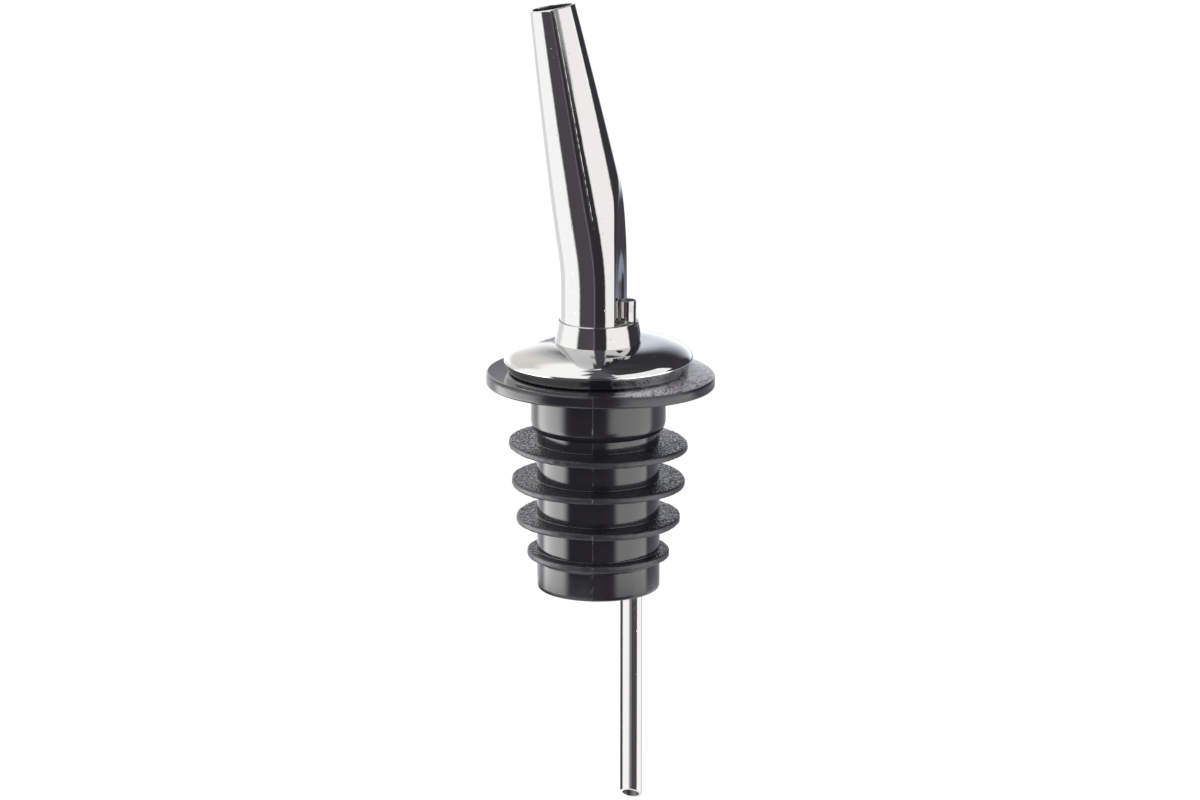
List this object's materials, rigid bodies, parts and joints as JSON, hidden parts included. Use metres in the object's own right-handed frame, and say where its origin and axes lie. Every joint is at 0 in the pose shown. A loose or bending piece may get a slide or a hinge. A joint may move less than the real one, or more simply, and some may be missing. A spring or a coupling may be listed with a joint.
{
  "type": "liquor pourer",
  "caption": "Free-flow bottle pourer: bent tapered chrome spout and breather tube on a domed skirt, held by a black finned plastic stopper.",
  "frame": {"origin": "on the stopper's axis, in the plane of the flange's underside, where the bottle's lip rests", "axes": "+Z along the stopper's axis out of the bottle; the spout leans towards -X; the breather tube stands at +X"},
  "size_m": [0.032, 0.032, 0.1144],
  "materials": {
    "black_plastic": "semi-gloss moulded, with matt grained fins",
    "bare_steel": "plain drawn tube",
    "chrome": "bright plated",
    "solder": "dull tin solder"
  },
  "bodies": {
    "stopper": {"stopper": "black_plastic"},
    "shank": {"shank": "bare_steel"},
    "head": {"spout": "chrome", "skirt": "chrome", "breather_tube": "chrome", "collar_solder": "solder"}
  },
  "joints": [
    {"name": "shank_pull", "type": "slide", "parent": "stopper", "child": "shank", "axis": [0, 0, 1], "range_m": [0, 0.066]},
    {"name": "spout_turn", "type": "hinge", "parent": "shank", "child": "head", "pos_m": [0, 0, 0], "axis": [0, 0, 1], "continuous": true}
  ]
}
